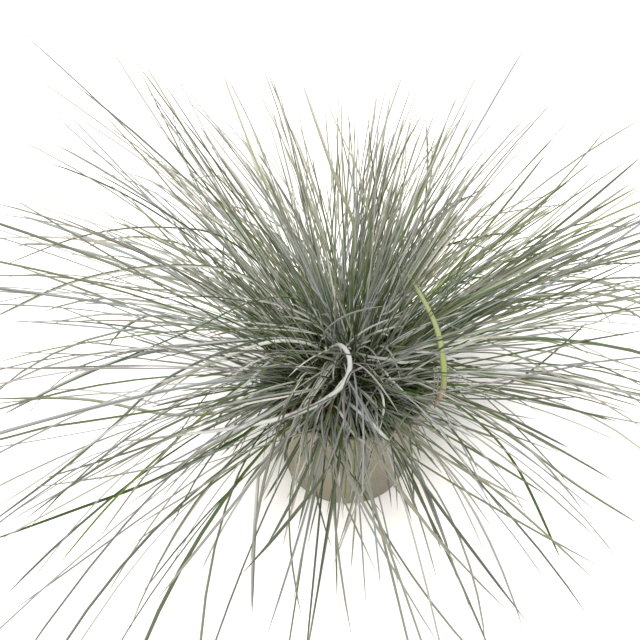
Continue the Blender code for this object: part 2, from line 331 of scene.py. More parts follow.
def bark():
    """Brown, red or pale bark by the bit's own tone, with peat in its grain."""
    made = Nodes("bark")
    tone = made.add("Attribute", output="Fac", attribute_name="tone")
    colour = made.mix(made.ramp(tone, 0.3, 0.55), BARK_BROWN, BARK_RED)
    colour = made.mix(made.ramp(tone, 0.85, 0.95), colour, BARK_PALE)
    grain = made.noise(made.stretch(made.place(), (1.0, 1.0, 4.0)), 900.0, 4.0)
    colour = made.mix(made.ramp(grain, 0.4, 0.7, 0.0, 0.5), colour, PEAT)
    return made.surface(colour, 0.8, relief=grain, depth=0.0004)


rng = np.random.default_rng(7)
box_corners = np.array([(x, y, z) for z in (-1, 1) for x, y in ((-1, -1), (1, -1), (1, 1), (-1, 1))]) / 2
box_faces = np.array([(0, 3, 2, 1), (4, 5, 6, 7), (0, 1, 5, 4), (1, 2, 6, 5), (2, 3, 7, 6), (3, 0, 4, 7)])
spot, bearing = rng.uniform(BARK_FROM, BARK_TO, BARK_BITS), rng.uniform(0, 2 * np.pi, BARK_BITS)
in_red_patch = np.cos(bearing - RED_PATCH) > RED_PATCH_EDGE
size = rng.uniform(*BARK_SIZES, BARK_BITS) * (1 + RED_LARGER * in_red_patch)
size = size[:, None] * BARK_SHAPE * rng.uniform(*BARK_UNEVENNESS, (BARK_BITS, 3))
bits = box_corners * size[:, None] * rng.uniform(*CORNER_UNEVENNESS, (BARK_BITS, 8, 3))
heading, tilt = rng.uniform(0, 2 * np.pi, BARK_BITS), rng.normal(0, BARK_TILT, BARK_BITS)
along, across, up = bits[:, :, 0], bits[:, :, 1], bits[:, :, 2]
tilted = along * np.cos(tilt)[:, None] - up * np.sin(tilt)[:, None]
height = along * np.sin(tilt)[:, None] + up * np.cos(tilt)[:, None]
on_crown = CROWN_MIDDLE + np.sqrt(np.maximum(CROWN_RADIUS**2 - spot**2, 0)) - BARK_SINKS
ground = np.maximum(SOIL_TOP.z, on_crown)[:, None]
cosine, sine = np.cos(heading)[:, None], np.sin(heading)[:, None]
bits = np.stack(
    (
        tilted * cosine - across * sine + (spot * np.cos(bearing))[:, None],
        tilted * sine + across * cosine + (spot * np.sin(bearing))[:, None],
        height + ground + rng.uniform(*BARK_SETTLES, (BARK_BITS, 1)),
    ),
    axis=-1,
)
bit_faces = (box_faces + 8 * np.arange(BARK_BITS)[:, None, None]).reshape(-1, 4)
bark_bits = show("bark_bits", bits.reshape(-1, 3), bit_faces.tolist(), bark(), sharp_over=30)
tone = np.where(in_red_patch, rng.uniform(*RED_TONES, BARK_BITS), rng.uniform(*BROWN_TONES, BARK_BITS))
tone = np.where(rng.uniform(0, 1, BARK_BITS) < PALE_SHARE, 1, tone)
remember(bark_bits.data, "tone", np.repeat(tone, len(box_corners)))
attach(bark_bits, "root")

# Root crown: the mound that the shoots grow from, matted with the dead leaf bases of earlier years. It has
# grown up out of the peat, which still clings to its foot.

CROWN_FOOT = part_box("root_crown")[0]
CROWN_CENTRE = np.array((0, 0, CROWN_MIDDLE))
CROWN_RINGS, CROWN_STEPS = 48, 160
MAT_DEPTH, MAT_GRAIN, FOOT_EDGE = 0.0012, 0.006, 0.0005
PEAT_LINE, PEAT_FADE = 0.088, 0.006
HUSK, HUSK_PALE, HUSK_DARK = (0.05, 0.036, 0.014), (0.16, 0.115, 0.055), (0.014, 0.011, 0.005)


def outward(lean, azimuth):
    """Unit vector that leans from the vertical by lean, towards azimuth."""
    lean, azimuth = np.broadcast_arrays(lean, azimuth)
    return np.stack((np.sin(lean) * np.cos(azimuth), np.sin(lean) * np.sin(azimuth), np.cos(lean)), axis=-1)


def husk():
    """Strands of old leaf bases, dark between and pale on top, with peat over them up to the peat line."""
    made = Nodes("old leaf bases")
    place = made.place()
    strands = made.noise(made.stretch(place, (1.0, 1.0, 0.35)), 520.0, 5.0, 0.7)
    colour = made.mix(made.ramp(strands, 0.35, 0.62), HUSK_DARK, HUSK)
    colour = made.mix(made.ramp(strands, 0.62, 0.8), colour, HUSK_PALE)
    height = made.add("SeparateXYZ", {"Vector": place}, output="Z")
    colour = made.mix(made.ramp(height, PEAT_LINE - PEAT_FADE, PEAT_LINE, 1.0, 0.0), colour, PEAT)
    return made.surface(colour, 0.9, 0.15, relief=strands, depth=0.0012, strength=0.9)


crown_edge = np.arccos((CROWN_FOOT.z - CROWN_CENTRE[2]) / CROWN_RADIUS)
crown_profile = [
    (CROWN_RADIUS * np.sin(lean), CROWN_CENTRE[2] + CROWN_RADIUS * np.cos(lean))
    for lean in np.linspace(0, crown_edge, CROWN_RINGS)
]
crown_points, crown_faces = turned(crown_profile + [(0, CROWN_FOOT.z)], CROWN_STEPS)
outside = crown_points - CROWN_CENTRE
bumps = crumbs(crown_points[:, 0], crown_points[:, 1], MAT_GRAIN, 3) - 1
above_foot = crown_points[:, 2:] > CROWN_FOOT.z + FOOT_EDGE
crown_points += above_foot * MAT_DEPTH * bumps[:, None] * outside / CROWN_RADIUS
crown = show("crown_mat", crown_points, crown_faces, husk(), sharp_over=180)
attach(crown, "root")
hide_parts("root_crown")

# Leaf tufts: each shoot is a fan of narrow grass leaves, folded along the middle so tightly that they look
# like wires. They have grown from the crown, lean together in loose bunches, arch over, and narrow to a
# point. Some are short or bent, and some stray across the others. Their blue-grey is a bloom of wax.

SHOOT_SITES, SINGLE_LEAF_SITES = 50, (4, 8)
GOLDEN_ANGLE = np.pi * (3 - np.sqrt(5))
OUTER_LEAN = np.radians(58)
SHOOT_RADIUS, ROOTED = 0.0046, 0.002
LEAVES_IN_TUFT, COUNT_UNEVENNESS, MOST_LEAVES = 30, (0.85, 1.15), 120
FRONT_SPARSER, INNER_FULLER = 0.4, 0.5  # shares of leaves: fewer at the front, more in the middle
# The bunches that the leaves lean together in: lean and azimuth in degrees, reach in metres, pull, fullness
BUNCHES = np.array([
    (60, 17, 0.30, 0.2, 1.2),
    (45, 19, 0.28, 1.1, 2.15),
    (48, 49, 0.205, 1.0, 1.3),
    (14, 51, 0.175, 1.0, 1.3),
    (18, 73, 0.195, 0.45, 0.75),
    (39, 135, 0.285, 0.7, 0.95),
    (13, 138, 0.175, 0.6, 1.05),
    (49, 154, 0.305, 0.6, 0.95),
    (62, 167, 0.275, 0.65, 1.75),
    (52, 184, 0.285, 0.65, 0.2),
    (46, 190, 0.32, 0.3, 0.3),
    (61, 232, 0.285, 1.0, 1.5),
    (59, 245, 0.185, 0.6, 0.8),
    (58, 272, 0.175, 0.75, 0.9),
    (46, 275, 0.215, 1.2, 1.25),
    (64, 312, 0.135, 1.2, 0.75),
    (53, 347, 0.235, 0.5, 0.25),
])
BUNCH_SPREAD, BUNCH_HOLD, BUNCH_PULL = 15.3, 30, 0.81  # degrees, degrees, share
LEAST_HOLD, HOLD_RANGE, MOST_HELD = 0.4, 0.8, 0.95
OPEN_REACH, OPEN_WEIGHT, OPEN_FULLNESS = 0.14, 0.15, 0.2  # away from every bunch: reach and two weights
FAN, SCATTER = np.radians((15.2, 5.7))
LEANS_OUT, SPLAY, SPLAY_LENGTH = 1.07, np.radians(20), 0.07
INNER_DROOP, OUTER_DROOP = np.radians((70, 67))  # a metre
UNEVEN_DROOP, SWAY, SMALL_SWAY = 0.5, 0.3, 0.1
# Long, middling and short leaves: share of all, least and greatest length as shares of the reach, how
# loosely they start, how strongly they curve, and how firmly a bunch holds them
LONG_SHARE, MIDDLING_SHARE = 0.43, 0.24
LEAST, MOST = np.array((0.62, 0.35, 0.10)), np.array((1.0, 0.65, 0.35))
LOOSE, CURVED, HELD = np.array((1, 1.6, 3.2)), np.array((1, 1.5, 4)), np.array((1, 0.9, 0.4))
STRAY_SHARE, STRAY_LOOSER = 0.14, 2.2
LOOSEST, LOOSEST_HOLD = 2.1, 3  # a leaf looser than this is held a third as firmly
ASIDE, DOWN, CURVE_LIMITS = 1.8, 1.39, (0.3, 1.2)  # radians a metre; limits for upright and low leaves
TAILS, FURTHEST_OUT = 4, 3  # a few leaves curve far more than most, up to this many times
WAVE, WAVE_TURN, WAVE_DOWN = 0.035, 6, 0.6
BENT_SHARE, BEND_FROM, BEND_RANGE, BEND_SPREAD, BEND_DOWN = 0.06, 0.25, 0.55, 0.5, 0.2
LIMP, LIMP_SHARE, LIMP_POWER, LEAST_LIMP = np.radians(75), 0.4, 2.5, 0.2
LEAF_WIDTH, WIDTH_SPREAD, LEAST_WIDTH = 0.00175, 0.25, 0.00085
UPRIGHT_FINER, FRONT_FINER, FRONT = 0.6, 0.34, 0.4  # shares by which upright and front leaves are finer
TWIST = 1.2
LEAF_RINGS, LEAF_CROWDING = 13, 1.1
FLOOR_CLEARANCE = 0.001
GREEN_SIDE, GREEN_MIDDLE, GREEN_EDGE = np.radians(60), 0.4, 0.9  # greener on this side, and in the middle
BACK = 0.3  # tufts that stand further back on the crown than this, as a share of its radius, are paler
BARE_SHARE, BARE_BEHIND, BARE_ON_GREEN = 0.34, 1.1, 0.8  # fewer behind, more on the green side
BARE_WAX, FULL_WAX, MOST_WAX, WAX_SPREAD = 0.3, 1.35, 1.5, 0.25
SHORT_WAX, GREEN_WAX, BACK_WAX = 0.45, 0.12, 0.3  # less on short leaves and the green side, more behind
GREEN_TUFT_EVERY = 4
FRESH_TUFT, BLOOMED_TUFT, FRESH_ON_GREEN, FRESH_BEHIND, FRESH_SPREAD = 0.06, -0.26, 0.65, 0.25, 0.28
DRY, DRY_BEHIND, DRY_SPREAD = 0.05, 0.45, 0.25
# Corners of the folded blade, in leaf widths: right edge, groove, left edge, keel
BLADE = np.array(((0.5, 0.2), (0, -0.02), (-0.5, 0.2), (0, -0.42)))
# Painted shade at each corner, as bloom taken off: one flank of a leaf is painted darker, as if shaded
BLADE_PAINTED_SHADE = np.array((0, 0.6, 1, 0.35))
GREEN, LIGHT_GREEN = (0.027, 0.054, 0.007), (0.076, 0.12, 0.027)
# The sheath's dark green at the foot of each leaf is partly its own colour and partly painted shade in the
# crown
FRESH, SHEATH_GREEN_AND_SHADE = (0.15, 0.20, 0.045), (0.022, 0.03, 0.004)
SILVER, BLUE_SILVER, MAUVE = (0.45, 0.45, 0.41), (0.34, 0.385, 0.385), (0.355, 0.325, 0.32)
PALE_SILVER, PALE_BLUE, PALE_MAUVE = (0.62, 0.62, 0.52), (0.47, 0.525, 0.465), (0.47, 0.44, 0.40)
WITHERED, DUSKY = (0.44, 0.405, 0.33), (0.132, 0.12, 0.128)


def unit(vectors):
    """Vectors divided by their lengths."""
    return vectors / np.linalg.norm(vectors, axis=-1, keepdims=True)


def site_heading(site):
    """Lean and azimuth of a shoot on the crown: each site is the golden angle on from the one before, and
    leans by the root of its number, so that all of them lie evenly."""
    return OUTER_LEAN * np.sqrt((site + 0.5) / SHOOT_SITES), site * GOLDEN_ANGLE


def leaf_heading(lean, azimuth, travelled):
    """Lean and azimuth after this much of a leaf. The lean is the first one times LEANS_OUT, plus a splay
    outside the sheath, of up to SPLAY, with its square, plus a droop in proportion to the length, uneven
    round the clump. The azimuth sways in that proportion too, by waves round the clump."""
    share = lean / OUTER_LEAN
    uneven = 1 + UNEVEN_DROOP * np.sin(2 * azimuth + 0.7)
    splay = SPLAY * share**2 * (1 - np.exp(-travelled / SPLAY_LENGTH))
    droop = (INNER_DROOP + (OUTER_DROOP - INNER_DROOP) * share**2) * uneven * travelled
    sway = (SWAY * np.sin(3 * azimuth + 1) + SMALL_SWAY * np.sin(7 * azimuth + 2)) * share * travelled
    return LEANS_OUT * lean + splay + droop, azimuth + sway


def leaf_paths(foot, lean, azimuth, length, aside, down, limp, wave, phase, bend_at, bend_aside, bend_down):
    """Points (leaf, ring) along the leaves, and the sideways vector at each. A leaf follows leaf_heading,
    turned aside and down in proportion to its length, down towards its tip if it is limp, by a slow wave,
    and all at once where it is bent. Its points are the running sum of its steps, kept off the floor."""
    marks = np.linspace(0, 1, LEAF_RINGS) ** LEAF_CROWDING
    along = length[:, None] * marks
    middle = (along[:, 1:] + along[:, :-1]) / 2
    now_lean, now_azimuth = leaf_heading(lean[:, None], azimuth[:, None], middle)
    sideways = outward(np.pi / 2, now_azimuth + np.pi / 2)
    downward = outward(now_lean + np.pi / 2, now_azimuth)
    ripple = wave[:, None] * np.sin(WAVE_TURN * marks[1:] + phase[:, None])
    past_bend = marks[1:] > bend_at[:, None]
    to_side = (aside[:, None] * middle + ripple + bend_aside[:, None] * past_bend)[..., None]
    sag = down[:, None] * middle + limp[:, None] * marks[1:] ** LIMP_POWER
    to_ground = (sag + WAVE_DOWN * ripple + bend_down[:, None] * past_bend)[..., None]
    steps = unit(outward(now_lean, now_azimuth) + to_side * sideways + to_ground * downward)
    steps *= np.diff(along)[..., None]
    points = foot[:, None] + np.concatenate((0 * steps[:, :1], np.cumsum(steps, axis=1)), axis=1)
    points[..., 2] = np.maximum(points[..., 2], FLOOR_CLEARANCE)
    return points, np.concatenate((sideways[:, :1], sideways), axis=1)


def blades(paths, sideways, roll, width, section=BLADE):
    """Points and faces of blades along paths (leaf, ring). Each ring is the section times the width there,
    set across the path and turned about it by roll. The last ring is one point."""
    ahead = unit(np.gradient(paths, axis=1))
    upward = unit(np.cross(ahead, sideways))
    level = np.cross(upward, ahead)
    across = level * np.cos(roll)[..., None] + upward * np.sin(roll)[..., None]
    over = np.cross(ahead, across)
    edges = section[:, :1] * across[:, :, None] + section[:, 1:] * over[:, :, None]
    corners = (paths[:, :, None] + width[..., None, None] * edges)[:, :-1]
    leaves, rings, sides = corners.shape[:3]
    points = np.concatenate((corners.reshape(-1, 3), paths[:, -1]))
    index = np.arange(leaves * rings * sides).reshape(leaves, rings, sides)
    onward = np.roll(index, -1, axis=2)
    walls = np.stack((index[:, :-1], onward[:, :-1], onward[:, 1:], index[:, 1:]), axis=-1)
    tips = np.broadcast_to((leaves * rings * sides + np.arange(leaves))[:, None], (leaves, sides))
    ends = np.stack((index[:, -1], onward[:, -1], tips), axis=-1)
    return points, walls.reshape(-1, 4).tolist() + index[:, 0, ::-1].tolist() + ends.reshape(-1, 3).tolist()


def describe_leaves(mesh, leaves, rings, grown, seeds, painted_shade=BLADE_PAINTED_SHADE):
    """Gives each point its place on the leaf (share of the length, painted shade, leaf's own number) and how
    the leaf has grown (wax, fresh green, dryness)."""
    share = np.arange(rings - 1) / (rings - 1)
    along = np.broadcast_to(share[None, :, None], (leaves, rings - 1, len(painted_shade)))
    painted_shade = np.broadcast_to(painted_shade, along.shape)
    number = np.broadcast_to(seeds[:, None, None], along.shape)
    on_sides = np.stack((along, painted_shade, number), axis=-1).reshape(-1, 3)
    on_tips = np.stack((np.ones(leaves), np.zeros(leaves), seeds), axis=-1)
    remember(mesh, "place_on_leaf", np.concatenate((on_sides, on_tips)))
    remember(mesh, "grown", np.concatenate((np.repeat(grown, (rings - 1) * painted_shade.shape[2], axis=0), grown)))


def taper(along, foot=0.34, widest=0.7, power=12, rounding=0.7, least=0.04):
    """A leaf's width along it, as a share of its greatest: an even swell from the share at its foot to where
    it is widest, times the fall 1 - along ** power, rounded by a root, plus a least width but at the tip."""
    swell = foot + (1 - foot) * np.clip(along / widest, 0, 1)
    return swell * (1 - along**power) ** rounding + least * (along < 1)


def leaf_finish(
    name,
    greens=(GREEN, LIGHT_GREEN),
    silvers=(SILVER, BLUE_SILVER, MAUVE),
    withered=WITHERED,
    withers_from=0.2,
    green_to=0.45,
    dusk=0.55,
):
    """A waxy folded leaf: one of two greens, under a bloom that is warm, blue or a little violet. The bloom
    is thicker on some leaves, at mid length and in patches, and thinner on one flank, as painted shade that
    darkens it. Fresh leaves are a brighter green, most of all near the crown. The foot is a darker green up
    to a share of the length, partly the sheath's own colour and partly painted shade deep in the crown. The
    tip is dusky, and some leaves are dry from a share of their length to the tip."""
    made = Nodes(name)
    place = made.add("Attribute", output="Vector", attribute_name="place_on_leaf")
    grown = made.add("Attribute", output="Vector", attribute_name="grown")
    along, painted_shade, number = (made.add("SeparateXYZ", {"Vector": place}, axis) for axis in "XYZ")
    wax, fresh, dry = (made.add("SeparateXYZ", {"Vector": grown}, axis) for axis in "XYZ")

    def draw(times, low, high):
        """A share, 0 or 1 for most leaves: a smooth step of the fraction of the leaf's number times this."""
        return made.ramp(made.sums("FRACT", made.sums("MULTIPLY", number, times)), low, high)

    lengthways, leaf_by_leaf = made.sums("MULTIPLY", along, 9.0), made.sums("MULTIPLY", number, 61.0)
    where = made.add("CombineXYZ", {"X": lengthways, "Y": leaf_by_leaf})
    patches = made.noise(where, 1.0, 3.0, 0.6)
    bloom = made.sums("MULTIPLY_ADD", made.sums("SUBTRACT", patches, 0.5), 0.6, wax)
    # Painted shade: less bloom on one flank, or under a rolled leaf, paints that side darker
    bloom = made.sums("SUBTRACT", bloom, made.sums("MULTIPLY", painted_shade, 0.8))
    # Less bloom towards the foot: a darker foot, partly the sheath's own green and partly painted shade in
    # the crown
    bloom = made.sums("SUBTRACT", bloom, made.ramp(along, 0.0, green_to, 1.0, 0.0))
    bloom = made.sums("SUBTRACT", bloom, made.ramp(along, 0.5, 1.0, 0.0, 0.25))
    waxy = made.mix(draw(13.0, 0.3, 0.7), silvers[0], silvers[1])
    waxy = made.mix(draw(29.0, 0.75, 0.9), waxy, silvers[2])
    under = made.mix(draw(7.0, 0.35, 0.75), greens[0], greens[1])
    colour = made.mix(made.add("Clamp", {"Value": bloom}), under, waxy)
    colour = made.mix(made.ramp(along, 0.2, 1.0, 0.0, dusk), colour, DUSKY)
    colour = made.mix(made.sums("MULTIPLY", fresh, made.ramp(along, 0.45, 1.0, 0.85, 0.4)), colour, FRESH)
    # The sheath colour over the foot, which is also painted shade deep in the crown
    colour = made.mix(made.ramp(along, 0.0, green_to * 0.65, 0.9, 0.0), colour, SHEATH_GREEN_AND_SHADE)
    colour = made.mix(made.sums("MULTIPLY", dry, made.ramp(along, withers_from, 0.95)), colour, withered)
    return made.surface(colour, made.ramp(patches, 0.3, 0.7, 0.5, 0.68), 0.12)


fescue = leaf_finish("fescue leaf")
pale_fescue = leaf_finish("pale fescue leaf", silvers=(PALE_SILVER, PALE_BLUE, PALE_MAUVE), dusk=0.4)
bunch_ways = outward(np.radians(BUNCHES[:, 0]), np.radians(BUNCHES[:, 1]))
reach, pull, fullness = BUNCHES[:, 2], BUNCHES[:, 3], BUNCHES[:, 4]
along = np.arange(LEAF_RINGS) / (LEAF_RINGS - 1)
free_sites = [site for site in range(SHOOT_SITES) if site not in SINGLE_LEAF_SITES]
for number, site in enumerate(free_sites, start=1):
    rng = np.random.default_rng(100 + site)
    site_lean, site_azimuth = site_heading(site)
    outer = site_lean / OUTER_LEAN
    normal = outward(site_lean, site_azimuth)
    east = outward(np.pi / 2, site_azimuth + np.pi / 2)
    north = np.cross(normal, east)

    # How many leaves: more near a full bunch
    off_bunch = np.degrees(np.arccos(np.clip(bunch_ways @ normal, -1, 1)))
    nearness = np.exp(-((off_bunch / BUNCH_SPREAD) ** 2) / 2) + 1e-6
    full = (nearness @ fullness + OPEN_FULLNESS) / (nearness.sum() + OPEN_FULLNESS)
    full *= (1 - FRONT_SPARSER * np.clip(-normal[1], 0, 1)) * (1 + INNER_FULLER * (1 - outer))
    count = int(round(LEAVES_IN_TUFT * full * rng.uniform(*COUNT_UNEVENNESS)))

    # Draws for more leaves than it has, so that a fuller tuft only gains some
    chances = rng.uniform(0, 1, (MOST_LEAVES, 12))[:count].T
    sort, spread, around, strays, grip, stretch, wavy, phase, bends, bend_at, turn, slack = chances
    *scatter, kink_aside, kink_down, thick, twist, _ = rng.normal(0, 1, (MOST_LEAVES, 8))[:count].T
    aside, down = rng.standard_t(TAILS, (MOST_LEAVES, 2))[:count].T.clip(-FURTHEST_OUT, FURTHEST_OUT)

    # Where each leaf stands and which way it starts: fanned out, scattered, and pulled to the nearest bunch
    kind = np.where(sort < LONG_SHARE, 0, np.where(sort < LONG_SHARE + MIDDLING_SHARE, 1, 2))
    spread, around = np.sqrt(spread), 2 * np.pi * around
    offset = spread[:, None] * (np.cos(around)[:, None] * east + np.sin(around)[:, None] * north)
    foot = CROWN_CENTRE + normal * (CROWN_RADIUS - ROOTED) + SHOOT_RADIUS * offset
    loose = LOOSE[kind] * np.where(strays < STRAY_SHARE, STRAY_LOOSER, 1)
    start = unit(normal + FAN * offset + np.transpose(scatter) * (SCATTER * loose)[:, None])
    off_bunch = np.degrees(np.arccos(np.clip(start @ bunch_ways.T, -1, 1)))
    weight = np.exp(-((off_bunch / BUNCH_SPREAD) ** 2) / 2) * pull + 1e-9
    nearest = weight.argmax(axis=1)
    held = BUNCH_PULL * pull[nearest] * np.exp(-((off_bunch.min(axis=1) / BUNCH_HOLD) ** 2))
    held = held * (LEAST_HOLD + HOLD_RANGE * grip) * HELD[kind] / np.where(loose > LOOSEST, LOOSEST_HOLD, 1)
    held = np.clip(held, 0, MOST_HELD)[:, None]
    start = unit((1 - held) * start + held * bunch_ways[nearest])
    lean, azimuth = np.arccos(start[:, 2]), np.arctan2(start[:, 1], start[:, 0])

    # How each leaf grows, and its blade
    furthest = (weight @ reach + OPEN_WEIGHT * OPEN_REACH) / (weight.sum(axis=1) + OPEN_WEIGHT)
    length = furthest * (LEAST[kind] + (MOST - LEAST)[kind] * stretch)
    curved = CURVED[kind] * np.clip(lean / OUTER_LEAN, *CURVE_LIMITS)
    limp = LIMP * np.clip(slack / LIMP_SHARE - 1 / LIMP_SHARE + 1, 0, 1)
    bent = bends < BENT_SHARE
    paths, sideways = leaf_paths(
        foot,
        lean,
        azimuth,
        length,
        aside=ASIDE * aside * curved,
        down=DOWN * down * curved,
        limp=limp * np.clip(lean / OUTER_LEAN, LEAST_LIMP, 1),
        wave=WAVE * wavy,
        phase=2 * np.pi * phase,
        bend_at=BEND_FROM + BEND_RANGE * bend_at,
        bend_aside=bent * kink_aside * BEND_SPREAD,
        bend_down=bent * (BEND_DOWN + BEND_SPREAD * kink_down),
    )
    roll = 2 * np.pi * turn[:, None] + TWIST * twist[:, None] * along
    upright = np.clip(1 - lean / OUTER_LEAN, 0, 1)
    finer = 1 - UPRIGHT_FINER * upright - FRONT_FINER * np.clip(FRONT - start[:, 1], 0, 1)
    width = np.maximum(LEAF_WIDTH * finer * np.exp(WIDTH_SPREAD * thick), LEAST_WIDTH)[:, None] * taper(along)
    points, faces = blades(paths, sideways, roll, width)
    tuft = show(f"tuft_{number:02d}_leaves", points, faces, pale_fescue if normal[1] > BACK else fescue)

    # How it has grown: most leaves waxy, some bare, some fresh green, and some dry at the tip, mainly behind
    green_tuft = number % GREEN_TUFT_EVERY == 0
    to_green_side = GREEN_MIDDLE * (1 - outer) + GREEN_EDGE * outer * np.cos(site_azimuth - GREEN_SIDE)
    to_green_side = np.clip(to_green_side, 0, 1)
    bare_share = BARE_SHARE * (1 - BARE_BEHIND * normal[1] + BARE_ON_GREEN * to_green_side)
    wax = np.where(rng.uniform(0, 1, count) < bare_share, BARE_WAX, FULL_WAX) - SHORT_WAX * (kind == 2)
    wax = wax - GREEN_WAX * to_green_side + BACK_WAX * normal[1]
    wax = np.clip(wax + rng.normal(0, WAX_SPREAD, count), 0, MOST_WAX)
    mean_fresh = (FRESH_TUFT if green_tuft else BLOOMED_TUFT) + FRESH_ON_GREEN * to_green_side
    fresh = rng.normal(mean_fresh + FRESH_BEHIND * normal[1], FRESH_SPREAD, count).clip(0, 1)
    dry = rng.normal(DRY + DRY_BEHIND * np.clip(normal[1] * 2, 0, 1), DRY_SPREAD, count).clip(0, 1)
    grown = np.stack((wax, fresh, dry), axis=-1)
    describe_leaves(tuft.data, count, LEAF_RINGS, grown, rng.uniform(0, 1, count))
    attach(tuft, "root")
    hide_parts(f"leaf_tuft_{number:02d}")

# Two leaves that stand out, each grown from its own sheath: a broad silver one that curls over the front
# of the crown and trails to the left, and a yellow-green one that bends over on the right, broader towards
# its brown tip.

CURLED_SITE, BENT_SITE = SINGLE_LEAF_SITES
SHEATH_LENGTH, SHEATH_STAND = 0.015, 0.0009
# The ways of the two beyond their sheaths, in millimetres
CURLED_WAY = (
    (-11, -24, 122), (-10, -45, 143), (-6, -58, 156), (-2, -66, 159), (0, -75, 157), (-3, -84, 153),
    (-10, -90, 150), (-18, -96, 149), (-34, -101, 146), (-60, -101, 138), (-100, -98, 126),
    (-145, -98, 105), (-180, -106, 78),
)
BENT_WAY = (
    (28, 14, 135), (30, 12, 158), (34, 2, 163), (40, -14, 160), (48, -32, 150), (51.5, -46, 138),
    (51.5, -57, 126), (47, -63, 116),
)
SINGLE_LEAF_RINGS, OWN_NUMBER = 80, 0.3  # the number picks its patches and tones
# A leaf rolled in nearly to a tube, with a shallow groove along its top: its corners in leaf widths
ROLLED_CORNERS, ROLLED_DEPTH, GROOVE_DEPTH, GROOVE_WIDTH = 12, 0.36, 0.12, 0.5
around = 2 * np.pi * np.arange(ROLLED_CORNERS) / ROLLED_CORNERS
groove = GROOVE_DEPTH * np.exp(-(((around - np.pi / 2) / GROOVE_WIDTH) ** 2))
ROLLED = np.stack((np.cos(around) / 2, ROLLED_DEPTH * np.sin(around) - groove), axis=-1)
# Painted shade: the rolled leaf has less bloom underneath, so its underside is painted darker than its top
ROLLED_PAINTED_SHADE = 0.25 - 0.25 * np.sin(around)
DULL_SILVER = (0.38, 0.38, 0.355)
YELLOW_GREEN, GREY_GREEN, RUST = (0.20, 0.235, 0.075), (0.24, 0.25, 0.16), (0.25, 0.175, 0.13)


def smooth_way(points, rings, steps=12):
    """A Catmull-Rom curve through the points, read at even steps of its length."""
    points = np.asarray(points, float)
    ends = 2 * points[:1] - points[1:2], 2 * points[-1:] - points[-2:-1]
    padded = np.concatenate((ends[0], points, ends[1]))
    a, b, c, d = (padded[i : len(padded) - 3 + i, None] for i in range(4))
    t = np.linspace(0, 1, steps, endpoint=False)[:, None]
    curve = b + ((c - a) * t + (2 * a - 5 * b + 4 * c - d) * t**2 + (3 * b - a - 3 * c + d) * t**3) / 2
    curve = np.concatenate((curve.reshape(-1, 3), points[-1:]))
    travelled = np.concatenate(((0,), np.cumsum(np.linalg.norm(np.diff(curve, axis=0), axis=1))))
    marks = np.linspace(0, travelled[-1], rings)
    return np.stack([np.interp(marks, travelled, curve[:, axis]) for axis in range(3)], axis=-1)


def beside(paths):
    """Level sideways vectors along paths (leaf, ring): across the way that each point is heading."""
    sideways = np.cross(np.gradient(paths, axis=1), (0, 0, 1))
    return unit(sideways + 1e-6)


def single_leaf(name, site, way, width, roll, grown, finish):
    """A leaf of its own: out of its sheath on this site of the crown, then along the way, with its width
    and roll given as functions of the share of its length."""
    normal = outward(*site_heading(site))
    foot = CROWN_CENTRE + normal * (CROWN_RADIUS + SHEATH_STAND)
    sheath = [foot - normal * SHEATH_STAND * 2, foot + normal * SHEATH_LENGTH / 2]
    way = smooth_way([*sheath, *np.array(way) / 1000], SINGLE_LEAF_RINGS)
    along = np.linspace(0, 1, SINGLE_LEAF_RINGS)
    points, faces = blades(way[None], beside(way[None]), roll(along)[None], width(along)[None], ROLLED)
    leaf = show(name, points, faces, finish, sharp_over=60)
    describe_leaves(leaf.data, 1, SINGLE_LEAF_RINGS, np.array([grown]), np.array([OWN_NUMBER]), ROLLED_PAINTED_SHADE)
    return leaf


def curled_width(along, width=0.0018, broader=0.0017, broadest=0.43, spread=0.13):
    """Broader in a bell curve where it loops, and drawn out to a point."""
    return (width + broader * np.exp(-(((along - broadest) / spread) ** 2))) * (1 - along**4) ** 0.8


def bent_width(along, width=0.0015, broader=0.0021, swells_from=0.35, swells_over=0.5):
    """Swelling evenly from mid length on, and rounded off at its blunt tip."""
    return (width + broader * np.clip((along - swells_from) / swells_over, 0, 1)) * (1 - along**40) ** 0.5


curled = single_leaf(
    "curled_leaf",
    CURLED_SITE,
    CURLED_WAY,
    width=curled_width,
    roll=lambda along: 0.2 + 0.4 * np.sin(3 * along),
    grown=(1.5, 0.0, 0.0),
    finish=leaf_finish("silver leaf", silvers=3 * [DULL_SILVER], green_to=0.2, dusk=0.1),
)
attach(curled, "root")
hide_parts("curled_silver_leaf")

bent = single_leaf(
    "bent_leaf",
    BENT_SITE,
    BENT_WAY,
    width=bent_width,
    roll=lambda along: 0.1 + 0.2 * along,
    grown=(0.75, 0.0, 1.0),
    finish=leaf_finish("yellow-green leaf", 2 * [YELLOW_GREEN], 3 * [GREY_GREEN], RUST, 0.88, dusk=0.0),
)
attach(bent, "root")
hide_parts("bent_green_leaf")

# Crossing leaves: the ones that stray over the rest, thick or thin, dark or pale, some of them kinked. Each
# is its width in millimetres, its wax, freshness and dryness, and the way that it takes, in millimetres.

